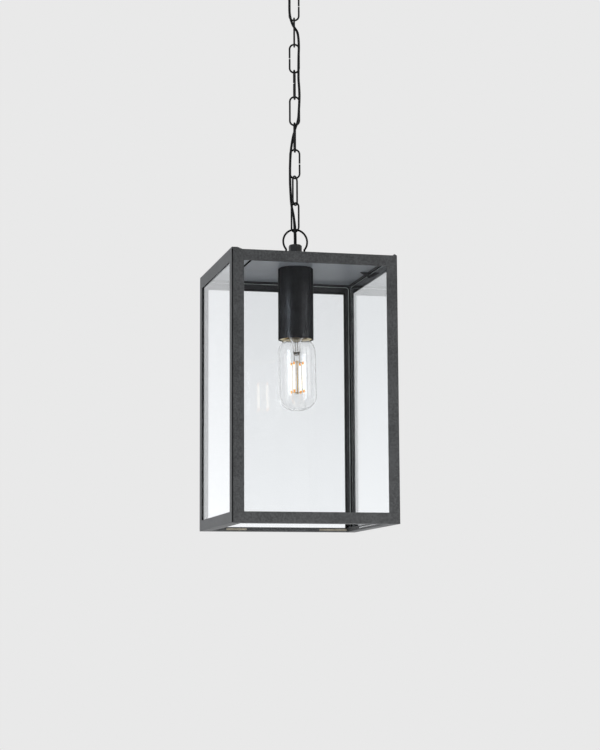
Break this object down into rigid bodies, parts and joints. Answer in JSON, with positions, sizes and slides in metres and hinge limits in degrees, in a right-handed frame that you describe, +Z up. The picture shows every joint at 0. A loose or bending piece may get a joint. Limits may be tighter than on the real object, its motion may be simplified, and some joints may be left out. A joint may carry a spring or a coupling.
{
  "type": "hanging lantern",
  "caption": "Square glass-sided pendant lantern with an open bottom, a tubular filament bulb in a cylindrical lampholder, and a chain with threaded flex up to a ceiling rose.",
  "frame": {"origin": "centre of the ceiling face of the mounting bracket", "axes": "+Z up into the ceiling, -Y out through the lantern's front pane, +X to the right of someone facing that pane"},
  "size_m": [0.195, 0.195, 0.7],
  "materials": {
    "steel_black": "textured powder coat",
    "chain_black": "satin black",
    "plastic_black": "satin",
    "flex_black": "matt",
    "cup_black": "satin",
    "zinc": "zinc plated",
    "brass": "bare",
    "porcelain": "glazed",
    "terminal_white": "moulded",
    "pane_glass": "clear",
    "bulb_glass": "clear",
    "clip_steel": "dull",
    "filament": "lit"
  },
  "bodies": {
    "ceiling_mount": {"ceiling_bracket": "zinc", "ceiling_rose": "steel_black", "rose_ring_nut": "steel_black", "ceiling_bridge": "zinc", "ceiling_eye": "chain_black", "eye_nut": "zinc", "terminal_block": "terminal_white", "terminal_screws": "brass", "flex_bush": "plastic_black", "flex_tail": "flex_black"},
    "link_9": {"chain_link_9": "chain_black", "flex_9": "flex_black"},
    "link_8": {"chain_link_8": "chain_black", "flex_8": "flex_black"},
    "link_7": {"chain_link_7": "chain_black", "flex_7": "flex_black"},
    "link_6": {"chain_link_6": "chain_black", "flex_6": "flex_black"},
    "link_5": {"chain_link_5": "chain_black", "flex_5": "flex_black"},
    "link_4": {"chain_link_4": "chain_black", "flex_4": "flex_black"},
    "link_3": {"chain_link_3": "chain_black", "flex_3": "flex_black"},
    "link_2": {"chain_link_2": "chain_black", "flex_2": "flex_black"},
    "link_1": {"chain_link_1": "chain_black", "flex_1": "flex_black"},
    "lantern": {"flex_0": "flex_black", "flex_lamp_end": "flex_black", "suspension_loop": "chain_black", "loop_nuts": "zinc", "gland_cap": "plastic_black", "gland_seal": "plastic_black", "gland_body": "plastic_black", "nipple_tube": "zinc", "nipple_locknut": "zinc", "top_plate": "steel_black", "front_frame": "steel_black", "back_frame": "steel_black", "left_frame": "steel_black", "right_frame": "steel_black", "pane_tabs": "steel_black", "plate_screws": "chain_black", "glass_front": "pane_glass", "glass_back": "pane_glass", "glass_left": "pane_glass", "glass_right": "pane_glass", "pane_clips": "clip_steel", "corner_clip": "chain_black", "lampholder_cup": "cup_black", "lampholder_body": "porcelain", "screw_shell": "brass", "centre_contact": "brass"},
    "bulb": {"bulb_cap": "brass", "bulb_contact": "clip_steel", "bulb_glass": "bulb_glass", "bulb_stem": "bulb_glass", "filament_frame": "brass", "filaments": "filament"}
  },
  "joints": [
    {"name": "link_9_swing", "type": "hinge", "parent": "ceiling_mount", "child": "link_9", "pos_m": [0, 0, -0.0517], "axis": [0.2419, 0.9703, 0], "range_deg": [-12, 12], "deforming": ["flex_9"]},
    {"name": "link_8_swing", "type": "hinge", "parent": "link_9", "child": "link_8", "pos_m": [0, 0, -0.0836], "axis": [0.9703, -0.2419, 0], "range_deg": [-12, 12], "deforming": ["flex_8"]},
    {"name": "link_7_swing", "type": "hinge", "parent": "link_8", "child": "link_7", "pos_m": [0, 0, -0.1164], "axis": [0.2419, 0.9703, 0], "range_deg": [-12, 12], "deforming": ["flex_7"]},
    {"name": "link_6_swing", "type": "hinge", "parent": "link_7", "child": "link_6", "pos_m": [0, 0, -0.1492], "axis": [0.9703, -0.2419, 0], "range_deg": [-12, 12], "deforming": ["flex_6"]},
    {"name": "link_5_swing", "type": "hinge", "parent": "link_6", "child": "link_5", "pos_m": [0, 0, -0.182], "axis": [0.3338, 0.9426, 0], "range_deg": [-12, 12], "deforming": ["flex_5"]},
    {"name": "link_4_swing", "type": "hinge", "parent": "link_5", "child": "link_4", "pos_m": [0, 0, -0.2148], "axis": [0.9703, -0.2419, 0], "range_deg": [-12, 12], "deforming": ["flex_4"]},
    {"name": "link_3_swing", "type": "hinge", "parent": "link_4", "child": "link_3", "pos_m": [0, 0, -0.2476], "axis": [0.3338, 0.9426, 0], "range_deg": [-12, 12], "deforming": ["flex_3"]},
    {"name": "link_2_swing", "type": "hinge", "parent": "link_3", "child": "link_2", "pos_m": [0, 0, -0.2804], "axis": [0.9703, -0.2419, 0], "range_deg": [-12, 12], "deforming": ["flex_2"]},
    {"name": "link_1_swing", "type": "hinge", "parent": "link_2", "child": "link_1", "pos_m": [0, 0, -0.3132], "axis": [0.6428, 0.766, 0], "range_deg": [-12, 12], "deforming": ["flex_1"]},
    {"name": "lantern_swing", "type": "hinge", "parent": "link_1", "child": "lantern", "pos_m": [0, 0, -0.346], "axis": [-0.5878, 0.809, 0], "range_deg": [-12, 12], "deforming": ["flex_0"]},
    {"name": "bulb_unscrew", "type": "slide", "parent": "lantern", "child": "bulb", "axis": [0.0209, 0, -0.9998], "range_m": [0, 0.03]}
  ]
}
